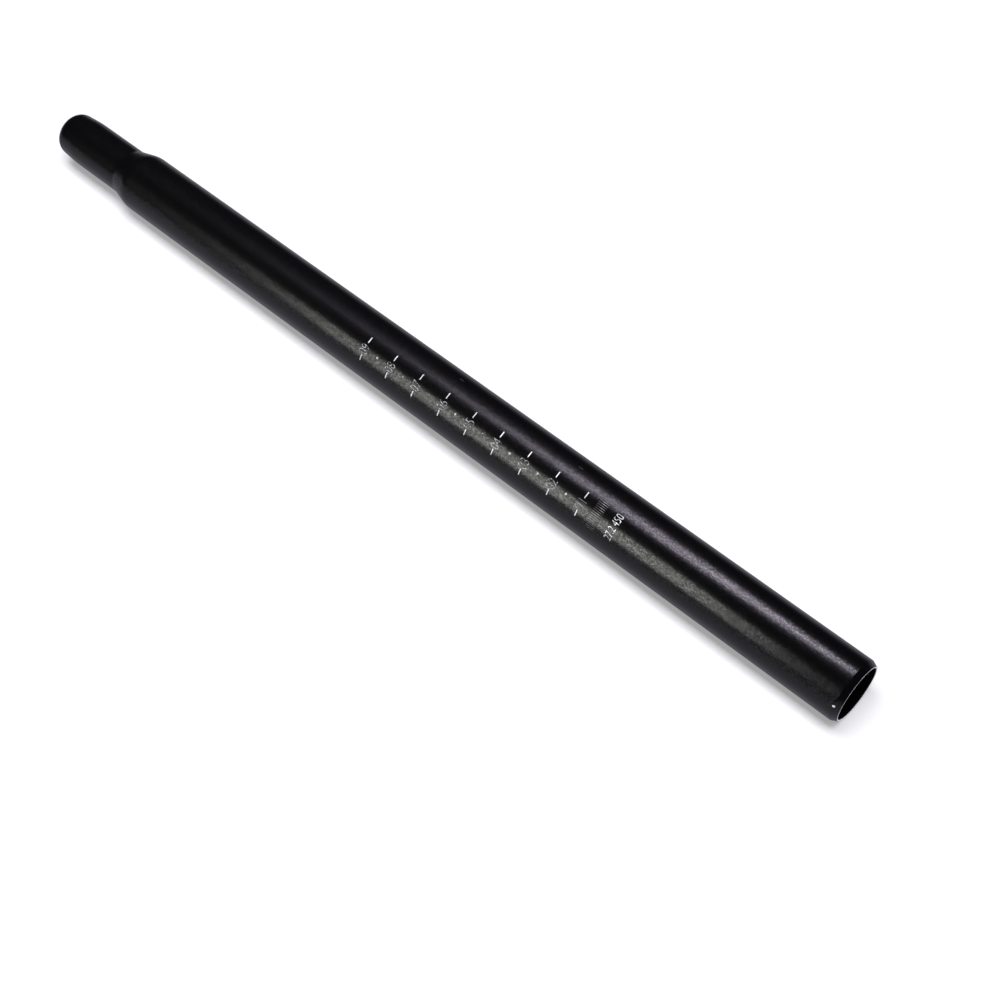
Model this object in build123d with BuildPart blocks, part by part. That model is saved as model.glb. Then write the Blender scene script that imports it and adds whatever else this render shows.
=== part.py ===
"""Straight bicycle seatpost: one aluminium tube with a swaged neck, lying on its side.

Millimetres, +Z up. The tube lies along X with its lowest line on Z = 0 and its middle at X = 0.
The open lower end, which slides into the frame, points to +X. The neck, which the saddle clamp
grips, points to -X.
"""

import os
from math import atan2, tan

from build123d import *

# Main tube
post_length = 450.0
tube_diameter = 27.2
tube_wall = 2.0

# Lower end: a lead-in bevel outside and a small deburring bevel in the mouth
lead_in_length = 2.5
lead_in_depth = 1.2
lead_in_blend = 1.5
mouth_bevel = 0.3

# Neck: swaged down from the tube, so its wall is a little thicker
neck_diameter = 22.0
neck_length = 42.0
neck_wall = 2.3

# Shoulder: a cone with a rounded edge at the tube and a hollow at the neck
shoulder_length = 9.6
shoulder_round = 16.0
shoulder_hollow = 6.5

# Nose: the neck's end draws in slightly, then rolls over to a rounded lip round an open hole
nose_length = 12.5
nose_draw = 1.0
nose_blend = 60.0
lip_round = 4.6
lip_thickness = 2.4
lip_hole_diameter = 10.0
lip_hole_edge = 0.6

# Radii, measured from the tube's axis
tube_radius = tube_diameter / 2
bore_radius = tube_radius - tube_wall
land_radius = tube_radius - lead_in_depth
neck_radius = neck_diameter / 2
neck_bore_radius = neck_radius - neck_wall
nose_radius = neck_radius - nose_draw
lip_hole_radius = lip_hole_diameter / 2

# Stations along the tube
lower_end = post_length / 2
neck_end = -post_length / 2
nose_start = neck_end + nose_length
shoulder_foot = neck_end + neck_length
shoulder_top = shoulder_foot + shoulder_length

# The inner wall turns at the same cone, set back by the wall's thickness
half_turn = atan2(tube_radius - neck_radius, shoulder_length) / 2
bore_top = shoulder_top + tube_wall * tan(half_turn)
neck_bore_foot = shoulder_foot + neck_wall * tan(half_turn)

# The wall's section lies on the level plane through the tube's axis
wall_plane = Plane.XY.offset(tube_radius)
tube_axis = Axis((0, 0, tube_radius), (1, 0, 0))

# Both lines of the wall run from the lower end to the rim of the lip's hole
with BuildPart() as seatpost_tube:
    with BuildSketch(wall_plane):
        with BuildLine():
            outside = FilletPolyline(
                (lower_end, land_radius),
                (lower_end - lead_in_length, tube_radius),
                (shoulder_top, tube_radius),
                (shoulder_foot, neck_radius),
                (nose_start, neck_radius),
                (neck_end, nose_radius),
                (neck_end, lip_hole_radius),
                (neck_end + lip_thickness, lip_hole_radius),
                radius=[lead_in_blend, shoulder_round, shoulder_hollow, nose_blend, lip_round, lip_hole_edge],
            )
            inside = FilletPolyline(
                (lower_end, bore_radius + mouth_bevel),
                (lower_end - mouth_bevel, bore_radius),
                (bore_top, bore_radius),
                (neck_bore_foot, neck_bore_radius),
                (nose_start, neck_bore_radius),
                (neck_end + lip_thickness, nose_radius - neck_wall),
                (neck_end + lip_thickness, lip_hole_radius),
                radius=[
                    0,
                    shoulder_round - tube_wall,
                    shoulder_hollow + neck_wall,
                    nose_blend - neck_wall,
                    lip_round - lip_thickness,
                ],
            )
            Line(outside @ 0, inside @ 0)
        make_face()
    revolve(axis=tube_axis)

seatpost_tube.part.label = "seatpost_tube"

os.makedirs("parts", exist_ok=True)
export_step(seatpost_tube.part, "parts/seatpost_tube.step")
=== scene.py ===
"""Looks for a straight bicycle seatpost that lies on a white floor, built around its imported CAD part.

Metres, in the part's own frame: the tube lies along X with its open lower end at +X, the neck for the
saddle clamp at -X and the floor at Z = 0.
"""

import bmesh
import bpy
import numpy as np
from mathutils import Matrix


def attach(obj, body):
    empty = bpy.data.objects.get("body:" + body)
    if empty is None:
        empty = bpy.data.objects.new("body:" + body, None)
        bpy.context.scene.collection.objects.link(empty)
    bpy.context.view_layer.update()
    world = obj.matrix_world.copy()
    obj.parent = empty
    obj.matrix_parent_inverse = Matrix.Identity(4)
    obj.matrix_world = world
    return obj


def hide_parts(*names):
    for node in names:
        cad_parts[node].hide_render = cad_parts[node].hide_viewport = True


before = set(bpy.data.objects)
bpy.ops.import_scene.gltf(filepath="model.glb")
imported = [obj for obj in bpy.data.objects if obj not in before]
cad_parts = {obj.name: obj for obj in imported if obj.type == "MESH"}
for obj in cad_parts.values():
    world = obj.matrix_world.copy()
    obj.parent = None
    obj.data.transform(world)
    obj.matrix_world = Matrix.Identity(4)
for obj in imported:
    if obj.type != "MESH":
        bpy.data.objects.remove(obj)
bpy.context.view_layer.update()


# The post is one drawn aluminium tube, swaged to a neck at the saddle end and bevelled at the end that
# slides into the frame. A satin black coat with a fine grain covers it, with one chip and a few light
# scuffs. The rim of the lower end was cut and deburred after coating, so it is bare metal.
mm = 0.001
post_length = 450.0 * mm
tube_radius = 13.6 * mm
tube_wall = 2.0 * mm
bevel_length = 2.5 * mm
bevel_depth = 1.2 * mm
bevel_blend = 1.5 * mm
rim_break = 0.15 * mm
mouth_bevel = 0.3 * mm
mouth_break = 0.08 * mm
neck_radius = 11.0 * mm
neck_length = 42.0 * mm
neck_wall = 2.3 * mm
shoulder_length = 9.6 * mm
shoulder_round = 16.0 * mm
shoulder_hollow = 6.5 * mm
nose_length = 12.5 * mm
nose_draw = 1.0 * mm
nose_blend = 60.0 * mm
lip_round = 4.6 * mm
lip_thickness = 2.4 * mm
lip_hole_radius = 5.0 * mm
lip_hole_edge = 0.6 * mm
lip_inner_break = 0.2 * mm

bore_radius = tube_radius - tube_wall
neck_bore_radius = neck_radius - neck_wall
nose_radius = neck_radius - nose_draw
lower_end = post_length / 2
neck_end = -post_length / 2
lip_inside = neck_end + lip_thickness
nose_start = neck_end + nose_length
shoulder_foot = neck_end + neck_length
shoulder_top = shoulder_foot + shoulder_length

# The inner wall turns at the same cone, set back by the wall's thickness
half_turn = np.arctan2(tube_radius - neck_radius, shoulder_length) / 2
bore_top = shoulder_top + tube_wall * np.tan(half_turn)
neck_bore_foot = shoulder_foot + neck_wall * np.tan(half_turn)

# The wall's section: each corner's distance along the tube, its radius from the axis and its round
wall_section = np.array([
    (lower_end, tube_radius - bevel_depth, rim_break),
    (lower_end - bevel_length, tube_radius, bevel_blend),
    (shoulder_top, tube_radius, shoulder_round),
    (shoulder_foot, neck_radius, shoulder_hollow),
    (nose_start, neck_radius, nose_blend),
    (neck_end, nose_radius, lip_round),
    (neck_end, lip_hole_radius, lip_hole_edge),
    (lip_inside, lip_hole_radius, lip_inner_break),
    (lip_inside, nose_radius - neck_wall, lip_round - lip_thickness),
    (nose_start, neck_bore_radius, nose_blend - neck_wall),
    (neck_bore_foot, neck_bore_radius, shoulder_hollow + neck_wall),
    (bore_top, bore_radius, shoulder_round - tube_wall),
    (lower_end - mouth_bevel, bore_radius, mouth_break),
    (lower_end, bore_radius + mouth_bevel, mouth_break),
])
arc_points = 11
turn_segments = 224

# Pairs of numbers are ranges, from where the finish starts to where it is full
coat_black = (0.0015, 0.0015, 0.0017, 1.0)
coat_weight = 0.42
coat_roughness = 0.24
coat_index = 1.5
under_roughness = 0.4
grain_size = 0.25 * mm
grain_levels = (0.40, 0.75)
grain_mean = 0.24
grain_depth = 0.8
# Where the grain shows: a painted glint on the lamp-lit upper side only
grain_lit_side_rise = (0.2 * tube_radius, 0.5 * tube_radius)
grain_lit_side_across = (0.42 * tube_radius, 0.22 * tube_radius)

bare_metal = (0.80, 0.80, 0.82, 1.0)
bare_along = (lower_end - 0.08 * mm, lower_end - 0.02 * mm)
bare_radius = (12.33 * mm, 12.23 * mm)
ragged_size = 1.2 * mm
ragged_reach = 0.06 * mm

chip_white = (0.85, 0.85, 0.85, 1.0)
chip_along = 222.5 * mm
chip_elevation = 20.8
chip_size = (0.65 * mm, 0.5 * mm, 0.5 * mm)

# Light scuffs: distance along the post, elevation in degrees, radius of the post there, and length
scuffs = [
    (22.4 * mm, 108.3, tube_radius, 1.2 * mm),
    (88.0 * mm, 101.1, tube_radius, 1.4 * mm),
    (-208.5 * mm, 29.4, neck_radius, 0.6 * mm),
]
scuff_width = 0.4 * mm
scuff_strength = 0.022


def rounded_loop(section, steps):
    """A closed line through corners (distance along the tube, radius, round), each rounded by an arc.

    An arc meets both sides at round / tan(half the corner's angle). Its points blend the two end radii
    on the circle: (sin((1 - k) turn) a + sin(k turn) b) / sin(turn). One more point on each side keeps
    the straight runs flat: it stands a margin past the arc, or nearer where the side is short.
    """
    margin = 0.4 * mm
    corners = section[:, :2]
    rounds = section[:, 2:]
    back = np.roll(corners, 1, 0) - corners
    ahead = np.roll(corners, -1, 0) - corners
    back_length = np.linalg.norm(back, axis=1, keepdims=True)
    ahead_length = np.linalg.norm(ahead, axis=1, keepdims=True)
    back = back / back_length
    ahead = ahead / ahead_length
    half = np.arccos((back * ahead).sum(1, keepdims=True)) / 2
    reach = rounds / np.tan(half)
    middle = back + ahead
    middle = middle / np.linalg.norm(middle, axis=1, keepdims=True)
    centre = corners + middle * rounds / np.sin(half)
    first = (corners + back * reach - centre)[:, None]
    last = (corners + ahead * reach - centre)[:, None]
    turn = (np.pi - 2 * half)[:, None]
    k = np.linspace(0, 1, steps)[None, :, None]
    arcs = centre[:, None] + (np.sin((1 - k) * turn) * first + np.sin(k * turn) * last) / np.sin(turn)
    before = corners + back * np.minimum(reach + margin, 0.4 * back_length + 0.2 * reach)
    after = corners + ahead * np.minimum(reach + margin, 0.4 * ahead_length + 0.2 * reach)
    return np.concatenate([before[:, None], arcs, after[:, None]], 1).reshape(-1, 2)


def turned(line, segments):
    """A closed surface: every point of a closed line is carried round the tube's axis.

    At angle a, a point at distance x and radius r stands at (x, r sin a, tube radius + r cos a).
    """
    a = np.linspace(0, 2 * np.pi, segments, endpoint=False)
    x = np.repeat(line[:, :1], segments, 1)
    points = np.stack([x, line[:, 1:] * np.sin(a), tube_radius + line[:, 1:] * np.cos(a)], -1)
    i = np.arange(points[..., 0].size).reshape(len(line), segments)
    down = np.roll(i, -1, 0)
    faces = np.stack([i, np.roll(i, -1, 1), np.roll(down, -1, 1), down], -1)
    return points.reshape(-1, 3), faces.reshape(-1, 4).tolist()


def piece(name, points, faces, finish):
    """A smooth object at the origin with these points, faces and material."""
    mesh = bpy.data.meshes.new(name)
    mesh.from_pydata(points.tolist(), [], faces)
    mesh.shade_smooth()
    mesh.materials.append(finish)
    made = bpy.data.objects.new(name, mesh)
    bpy.context.scene.collection.objects.link(made)
    return made


class Shade:
    """A value in a material. Arithmetic on it adds Math nodes, and node() adds any other node."""

    def __init__(self, tree, socket=None):
        self.tree = tree
        self.socket = socket

    def node(self, kind, settings=None, sockets=None, output=0):
        """Adds a node of this kind, sets its settings, then gives its sockets values or links."""
        made = self.tree.nodes.new(kind)
        for name, value in (settings or {}).items():
            setattr(made, name, value)
        for name, value in (sockets or {}).items():
            if isinstance(value, Shade):
                self.tree.links.new(value.socket, made.inputs[name])
            else:
                made.inputs[name].default_value = value
        return Shade(self.tree, made.outputs[output] if made.outputs else None)

    def output(self, name):
        """Another output of the node that this value comes from."""
        return Shade(self.tree, self.socket.node.outputs[name])

    def math(self, operation, *values):
        """The result of a Math node on these values."""
        return self.node("ShaderNodeMath", {"operation": operation}, dict(enumerate(values)))

    def __add__(self, other):
        return self.math("ADD", self, other)

    def __sub__(self, other):
        return self.math("SUBTRACT", self, other)

    def __rsub__(self, other):
        return self.math("SUBTRACT", other, self)

    def __mul__(self, other):
        return self.math("MULTIPLY", self, other)

    __radd__ = __add__
    __rmul__ = __mul__

    def ramp(self, low, high):
        """0 at low and 1 at high, with a smooth run between."""
        return self.node(
            "ShaderNodeMapRange",
            {"interpolation_type": "SMOOTHSTEP"},
            {"Value": self, "From Min": low, "From Max": high},
        )

    def mix(self, start, end):
        """A colour between start and end, by this value."""
        return self.node("ShaderNodeMix", {"data_type": "RGBA"}, {0: self, 6: start, 7: end}, output=2)

    def speck(self, middle, size):
        """For a place vector: 1 near a middle on the post, 0 outside.

        It fades between 0.75 and 1.15 of the size (along, across, up).
        """
        off = self.node("ShaderNodeVectorMath", {"operation": "SUBTRACT"}, {0: self, 1: middle})
        off = self.node("ShaderNodeVectorMath", {"operation": "DIVIDE"}, {0: off, 1: size})
        far = self.node("ShaderNodeVectorMath", {"operation": "LENGTH"}, {0: off}, output="Value")
        return far.ramp(1.15, 0.75)


def new_finish(name):
    """An empty material, its tree and the place of a point in the part's own frame."""
    material = bpy.data.materials.new(name)
    material.use_nodes = True
    material.node_tree.nodes.clear()
    tree = Shade(material.node_tree)
    return material, tree, tree.node("ShaderNodeTexCoord", output="Object")


def noise(place, size, detail):
    """Cloudy noise from 0 to 1 with features of about this size in metres."""
    return place.node("ShaderNodeTexNoise", None, {"Vector": place, "Scale": 0.5 / size, "Detail": detail})


def on_post(x, elevation, radius):
    """A point on the post: x along it, elevation of its normal in degrees above the level camera side."""
    e = np.radians(elevation)
    return (x, -radius * np.cos(e), tube_radius + radius * np.sin(e))


satin_black, tree, place = new_finish("satin_black")
axes = place.node("ShaderNodeSeparateXYZ", None, {"Vector": place})
along = axes.output("X")
across = axes.output("Y")
rise = axes.output("Z") - tube_radius
radius = place.math("SQRT", across * across + rise * rise)

# The grain is real, but it is painted only on the upper side towards the camera, as a painted glint where
# the lamps shine on it; round the rest of the post the coat is plain
grain_glint = noise(place, grain_size, detail=1.0).ramp(*grain_levels) - grain_mean
grain_glint = grain_glint * (rise.ramp(*grain_lit_side_rise) * across.ramp(*grain_lit_side_across))

# The bare rim ends in a slightly ragged edge
ragged = ragged_reach * noise(place, ragged_size, detail=1.0)
bare = (along + ragged).ramp(*bare_along) * (radius + ragged).ramp(*bare_radius)

chip = place.speck(on_post(chip_along, chip_elevation, tube_radius), chip_size)
scuff = sum(
    place.speck(on_post(scuff_along, elevation, post_radius), (length, scuff_width, scuff_width))
    for scuff_along, elevation, post_radius, length in scuffs
)
colour = (scuff_strength * scuff).mix(coat_black, chip_white)
colour = chip.mix(colour, chip_white)
colour = bare.mix(colour, bare_metal)

# The black's gloss is all in its clear coat, and the rim's is in its bare metal
coat = tree.node(
    "ShaderNodeBsdfPrincipled",
    None,
    {
        "Base Color": colour,
        "Metallic": bare,
        "Roughness": under_roughness,
        "Specular IOR Level": 0.0,
        "Coat Weight": (1 - bare) * (coat_weight + grain_depth * grain_glint),
        "Coat Roughness": coat_roughness,
        "Coat IOR": coat_index,
    },
)
tree.node("ShaderNodeOutputMaterial", None, {"Surface": coat})

wall_line = rounded_loop(wall_section, arc_points)
post = piece("seatpost_tube_coated", *turned(wall_line, turn_segments), satin_black)
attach(post, "root")
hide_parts("seatpost_tube")


# The height scale is etched through the coat to bright metal: a pair of dashes at every height step,
# with a dot halfway to the next step. It faces up and to the camera side of the lying post. Some of the
# dots are etched lightly and show as a broken grey.
scale_elevation = np.radians(48.9)
scale_start = 97.9 * mm
step = 14.85 * mm
steps = 9
height_steps = np.arange(steps) * step
mark_height = 0.012 * mm
mark_depth = 0.10 * mm
mark_middle = -0.25 * mm
dash_half = 0.22 * mm
dash_inner = 2.8 * mm
dash_outer = 5.6 * mm
dash_rings = 10
dot_radius = 0.42 * mm
dot_corners = 16
bright_dots = [0, 1, 2, 4, 7]
faint_dots = [3, 5, 6]

etched_white = (0.96, 0.96, 0.96, 1.0)
etched_pale = (0.78, 0.78, 0.78, 1.0)
etched_grey = (0.58, 0.58, 0.58, 1.0)
etched_dark = (0.02, 0.02, 0.02, 1.0)
bright_patch = 2.5 * mm
faint_patch = 0.35 * mm
patch_levels = (0.38, 0.62)
burr_size = 0.12 * mm
burr_depth = 0.8
etched_roughness = 0.35
burr_roughness = 0.3


def wrapped(flat):
    """Flat marks rolled on to the tube.

    Each flat point is (right, up, height). Right becomes an angle, right / tube radius, from the scale's
    middle line, up becomes distance towards the saddle, and height is added to the tube's radius.
    """
    e = scale_elevation + flat[..., 0] / tube_radius
    r = tube_radius + flat[..., 2]
    return np.stack([scale_start - flat[..., 1], -r * np.cos(e), tube_radius + r * np.sin(e)], -1)


def capped(rings):
    """Points and faces of solids given as rings[solid, ring, corner].

    Quads join each ring to the next, and one face closes each end.
    """
    solids, count, corners = rings.shape[:3]
    i = np.arange(solids * count * corners).reshape(solids, count, corners)
    ahead = np.roll(i, -1, 2)
    sides = np.stack([i[:, :-1], ahead[:, :-1], ahead[:, 1:], i[:, 1:]], -1).reshape(-1, 4)
    caps = np.concatenate([i[:, 0, ::-1], i[:, -1]])
    return rings.reshape(-1, 3), sides.tolist() + caps.tolist()


def bars(left, right, low, high, rings):
    """Flat bars, one for each row: a rectangle of up and height carried from left to right.

    The ring at share k of the way stands at left + k (right - left).
    """
    left, right, low, high = np.broadcast_arrays(left, right, low, high)
    k = np.linspace(0, 1, rings)
    ring_at = left[:, None] + (right - left)[:, None] * k
    up = np.stack([low, high, high, low], -1)[:, None]
    height = np.array([-mark_depth, -mark_depth, mark_height, mark_height])
    return np.stack(np.broadcast_arrays(ring_at[..., None], up, height), -1)


def spots(middle, up, radius, corners):
    """Flat round spots, one for each up: a circle carried from the mark's depth to its height.

    The corner at angle a stands at (middle + radius cos a, up + radius sin a).
    """
    a = np.linspace(0, 2 * np.pi, corners, endpoint=False)
    corner_right = middle + radius * np.cos(a)
    corner_up = up[:, None, None] + radius * np.sin(a)
    height = np.array([-mark_depth, mark_height])[:, None]
    return np.stack(np.broadcast_arrays(corner_right, corner_up, height), -1)


def etched_finish(name, dull, bright, patch):
    """Metal bared by etching: patches of about this size run from dull to bright, with a fine burr."""
    finish, tree, place = new_finish(name)
    depth = noise(place, patch, detail=0.0).ramp(*patch_levels)
    burr = noise(place, burr_size, detail=1.0)
    metal = tree.node(
        "ShaderNodeBsdfPrincipled",
        None,
        {
            "Base Color": (depth + burr_depth * (burr - 0.5)).mix(dull, bright),
            "Roughness": etched_roughness + burr_roughness * burr,
        },
    )
    tree.node("ShaderNodeOutputMaterial", None, {"Surface": metal})
    return finish


def etched_mark(name, points, faces, finish):
    """A mark on the post: a piece that rides with it."""
    made = piece(name, points, faces, finish)
    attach(made, "root")
    return made


etched = etched_finish("etched_bright", etched_pale, etched_white, bright_patch)
faint = etched_finish("etched_faint", etched_dark, etched_grey, faint_patch)
dash_low = height_steps - dash_half
dash_high = height_steps + dash_half
dashes = np.concatenate([
    bars(-dash_outer, -dash_inner, dash_low, dash_high, dash_rings),
    bars(dash_inner, dash_outer, dash_low, dash_high, dash_rings),
])
dots = spots(mark_middle, height_steps[:-1] + step / 2, dot_radius, dot_corners)
etched_mark("scale_dashes", *capped(wrapped(dashes)), etched)
etched_mark("scale_dots", *capped(wrapped(dots[bright_dots])), etched)
etched_mark("scale_dots_faint", *capped(wrapped(dots[faint_dots])), faint)


# The steps are numbered from 01 at the lowest to 09 at the highest, in thin digits between the dashes.
# They are etched lightly through the coat, in broken grey specks, and the lowest is only a trace.
number_width = 3.8 * mm
number_height = 4.2 * mm
number_thinning = 0.025
digit_thickness = 0.09 * mm
digit_middle = -0.01 * mm
etched_dim = (0.34, 0.34, 0.34, 1.0)
etched_dusk = (0.08, 0.08, 0.08, 1.0)
trace_patch = 1.2 * mm


def digits(words, width, height, middle, up, thinning):
    """A flat closed mesh of digits, as points (right, up, height) and faces.

    It is fitted to a width and height about a middle: (point - centre) / extent, times the size.
    """
    curve = bpy.data.curves.new("digits", "FONT")
    curve.body = words
    curve.extrude = 0.5
    curve.offset = -thinning
    curve.resolution_u = 4
    holder = bpy.data.objects.new("digits", curve)
    mesh = bpy.data.meshes.new_from_object(holder)
    closed = bmesh.new()
    closed.from_mesh(mesh)
    bmesh.ops.remove_doubles(closed, verts=closed.verts, dist=0.0001)
    bmesh.ops.recalc_face_normals(closed, faces=closed.faces)
    closed.to_mesh(mesh)
    closed.free()
    points = np.empty(len(mesh.vertices) * 3, dtype=np.float32)
    mesh.vertices.foreach_get("co", points)
    points = points.reshape(-1, 3).astype(float)
    faces = [list(f.vertices) for f in mesh.polygons]
    bpy.data.objects.remove(holder)
    bpy.data.curves.remove(curve)
    bpy.data.meshes.remove(mesh)
    low, high = points.min(0), points.max(0)
    points = (points - (low + high) / 2) / (high - low)
    return points * [width, height, digit_thickness] + [middle, up, digit_middle], faces


trace = etched_finish("etched_trace", etched_dusk, etched_dim, trace_patch)
for n, up in enumerate(height_steps):
    points, faces = digits(f"0{n + 1}", number_width, number_height, mark_middle, up, number_thinning)
    number = etched_mark(f"scale_number_{n + 1}", wrapped(points), faces, trace if n == 0 else faint)
    number.data.shade_flat()


# Below the scale, a block of fine hatching marks the insertion limit. It is a trace of etching, and its
# lines thin out down the camera side. The plain digits under it give the post's diameter and length in
# millimetres, etched bright but unevenly.
hatch_lines = 15
hatch_at = np.linspace(-6.4, 6.0, hatch_lines) * mm
hatch_half = np.linspace(0.02, 0.12, hatch_lines) * mm
hatch_low = -10.2 * mm
hatch_high = -5.6 * mm
hatch_rings = 2
size_width = 11.2 * mm
size_height = 3.5 * mm
size_middle = 0.1 * mm
size_up = -16.4 * mm
size_thinning = 0.012
patchy_patch = 0.45 * mm

hatch = bars(hatch_at - hatch_half, hatch_at + hatch_half, hatch_low, hatch_high, hatch_rings)
etched_mark("limit_hatch", *capped(wrapped(hatch)), trace)
patchy = etched_finish("etched_patchy", etched_dim, etched_white, patchy_patch)
points, faces = digits("27.2 450", size_width, size_height, size_middle, size_up, size_thinning)
size_digits = etched_mark("size_digits", wrapped(points), faces, patchy)
size_digits.data.shade_flat()


# The floor is a plain sheet of matt white paper, which the camera sees a little brighter than the lamps
# alone make it. In the post's gloss it is a painted reflection: dimmer and slightly violet, with a painted
# pool of light near the post that dims with distance from it, more on the far side than on the near one.
half_floor = 3.0
floor_white = (0.57, 0.57, 0.57, 1.0)
floor_glow = (0.347, 0.347, 0.347, 1.0)
no_glow = (0.0, 0.0, 0.0, 1.0)
# Painted reflection: the floor's colours as the post's gloss sees them, near the post and far from it
painted_reflection_white = (0.44, 0.44, 0.44, 1.0)
painted_reflection_glow = (0.385, 0.367, 0.470, 1.0)
faded_reflection_white = (0.19, 0.19, 0.19, 1.0)
faded_reflection_glow = (0.06, 0.06, 0.07, 1.0)
far_reflection_fade = (0.045, 0.20)
near_reflection_fade = (-0.03, -0.14)
near_reflection_share = 0.5

paper, tree, place = new_finish("white_sheet_painted_reflection")
ray = tree.node("ShaderNodeLightPath", output="Is Camera Ray")
seen = ray.math("MAXIMUM", ray, ray.output("Is Transmission Ray"))
mirrored = ray.output("Is Glossy Ray")
side = place.node("ShaderNodeSeparateXYZ", None, {"Vector": place}).output("Y")
# A painted pool of light near the post that only the gloss sees, dimming with distance, more on the far
# side
reflection_falloff = side.ramp(*far_reflection_fade) + near_reflection_share * side.ramp(*near_reflection_fade)
white = mirrored.mix(floor_white, reflection_falloff.mix(painted_reflection_white, faded_reflection_white))
glow = mirrored.mix(seen.mix(no_glow, floor_glow), reflection_falloff.mix(painted_reflection_glow, faded_reflection_glow))
sheet = tree.node(
    "ShaderNodeBsdfPrincipled",
    None,
    {
        "Base Color": white,
        "Roughness": 1.0,
        "Specular IOR Level": 0.0,
        "Emission Color": glow,
        "Emission Strength": 1.0,
    },
)
tree.node("ShaderNodeOutputMaterial", None, {"Surface": sheet})
floor_corners = np.array([(-1, -1, 0), (1, -1, 0), (1, 1, 0), (-1, 1, 0)]) * half_floor
floor = piece("floor", floor_corners, [[0, 1, 2, 3]], paper)


# Three soft boxes light the post in a dark grey room. A large one overhead lights the floor and the
# marks. The other two show only in the gloss: one above the post and turned across it, and a low one on
# the camera side.
world_grey = (0.035, 0.035, 0.042, 1.0)


def soft_box(name, place, size, radiance, tint, spread=180.0, turn=0.0):
    """A rectangular lamp that faces the post squarely, with its first side along X or at a turn from it.

    A grid that narrows its beam to a spread, in degrees, dims it at an angle a by
    1 - tan a / tan(spread / 2). Its energy is set for its radiance seen square on.
    """
    place = np.array(place)
    back = place * [0, 1, 1]
    back = back / np.linalg.norm(back)
    side = np.array([np.cos(np.radians(turn)), np.sin(np.radians(turn)), 0.0])
    side = side - (side @ back) * back
    side = side / np.linalg.norm(side)
    half = np.radians(spread / 2)
    lamp = bpy.data.lights.new(name, "AREA")
    lamp.shape = "RECTANGLE"
    lamp.size, lamp.size_y = size
    lamp.spread = 2 * half
    lamp.energy = radiance * np.pi * size[0] * size[1] * (1 - half / np.tan(half))
    lamp.color = tint
    holder = bpy.data.objects.new(name, lamp)
    axes = np.column_stack([side, np.cross(back, side), back, place])
    holder.matrix_world = Matrix(axes.tolist() + [[0, 0, 0, 1]])
    bpy.context.scene.collection.objects.link(holder)
    return holder


main_box = soft_box(
    "main_box",
    place=(0.15, -0.28, 2.70),
    size=(2.20, 1.13),
    radiance=13.5,
    tint=(0.98, 0.98, 1.04),
)
top_box = soft_box(
    "top_box",
    place=(-0.136, 0.180, 0.798),
    size=(0.31, 0.66),
    radiance=38.5,
    tint=(1.0, 0.92, 1.09),
    spread=54.4,
    turn=-35.0,
)
low_box = soft_box(
    "low_box",
    place=(-0.28, -0.734, 0.315),
    size=(0.50, 0.533),
    radiance=13.2,
    tint=(1.0, 1.0, 0.96),
    spread=109.0,
)
main_box.visible_glossy = False
top_box.visible_diffuse = False
low_box.visible_diffuse = False
world = bpy.data.worlds.new("studio")
world.use_nodes = True
world.node_tree.nodes["Background"].inputs["Color"].default_value = world_grey
bpy.context.scene.world = world


# The camera looks down on the post from beside its open end, as in the photograph. It is held level, and
# its line of sight follows from its azimuth and elevation.
camera_place = (0.33247, -0.31421, 0.56231)
camera_azimuth = np.radians(-47.803)
camera_elevation = np.radians(54.410)
focal_length = 60.9
film_width = 36.0

camera_right = np.array([-np.sin(camera_azimuth), np.cos(camera_azimuth), 0.0])
level_back = np.array([np.cos(camera_azimuth), np.sin(camera_azimuth), 0.0])
camera_back = np.cos(camera_elevation) * level_back + [0.0, 0.0, np.sin(camera_elevation)]
camera_up = np.cross(camera_back, camera_right)
camera_axes = np.column_stack([camera_right, camera_up, camera_back, camera_place])
lens = bpy.data.cameras.new("camera")
lens.lens = focal_length
lens.sensor_width = film_width
camera = bpy.data.objects.new("camera", lens)
camera.matrix_world = Matrix(camera_axes.tolist() + [[0, 0, 0, 1]])
bpy.context.scene.collection.objects.link(camera)
bpy.context.scene.camera = camera
bpy.context.scene.view_settings.view_transform = "Standard"
